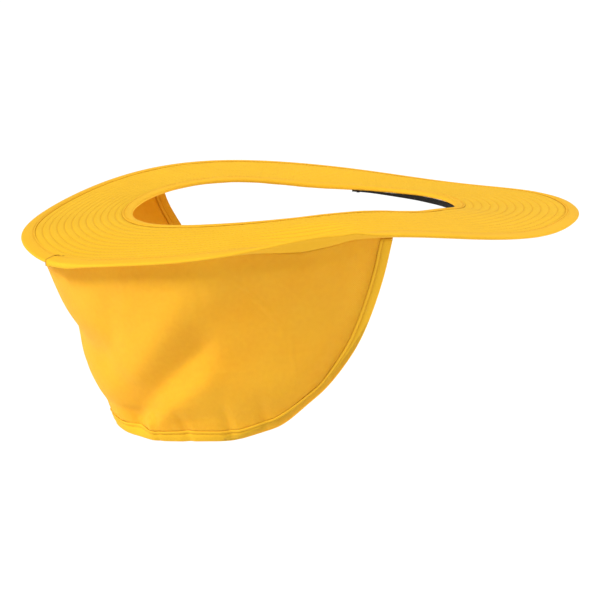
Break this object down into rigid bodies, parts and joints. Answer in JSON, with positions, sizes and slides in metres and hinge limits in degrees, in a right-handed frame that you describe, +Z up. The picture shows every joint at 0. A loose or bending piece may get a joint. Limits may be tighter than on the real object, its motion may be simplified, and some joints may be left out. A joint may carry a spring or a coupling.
{
  "type": "hard hat sun shade",
  "caption": "Slip-on cotton sun shade for a hard hat: stitched oval brim with an elastic-gripped opening and a hanging neck shade.",
  "frame": {"origin": "centre of the head opening, on the line that joins its front and rear", "axes": "+X towards the wearer's front, +Y towards the wearer's left, +Z up"},
  "size_m": [0.4434, 0.3414, 0.1789],
  "materials": {
    "cotton": "yellow cotton twill, matte",
    "binding": "yellow cotton binding, matte",
    "thread": "golden polyester thread",
    "interlining": "off-white stiff non-woven, hidden inside the brim",
    "elastic": "black woven elastic"
  },
  "bodies": {
    "brim": {"brim_interlining": "interlining", "brim_stitch_row_01": "thread", "brim_stitch_row_02": "thread", "brim_stitch_row_03": "thread", "brim_stitch_row_04": "thread", "brim_stitch_row_05": "thread", "brim_stitch_row_06": "thread", "brim_stitch_row_07": "thread", "brim_stitch_row_08": "thread", "brim_stitch_row_09": "thread", "brim_stitch_row_10": "thread", "brim_stitch_row_11": "thread", "brim_top_cover": "cotton", "brim_under_cover": "cotton", "edge_binding": "binding", "edge_binding_stitch": "thread", "elastic_tack_left": "elastic", "elastic_tack_right": "elastic", "front_elastic": "elastic", "opening_binding": "binding", "opening_binding_stitch": "thread"},
    "neck_shade": {"neck_shade": "cotton", "shade_binding_left": "binding", "shade_binding_rear": "binding", "shade_binding_right": "binding", "shade_binding_stitch_left": "thread", "shade_binding_stitch_rear": "thread", "shade_binding_stitch_right": "thread"}
  },
  "joints": [
    {"name": "neck_shade_stow", "type": "slide", "parent": "brim", "child": "neck_shade", "axis": [0, 0, 1], "range_m": [0, 0.11], "deforming": ["neck_shade", "shade_binding_left", "shade_binding_right", "shade_binding_stitch_left", "shade_binding_stitch_right"]}
  ]
}
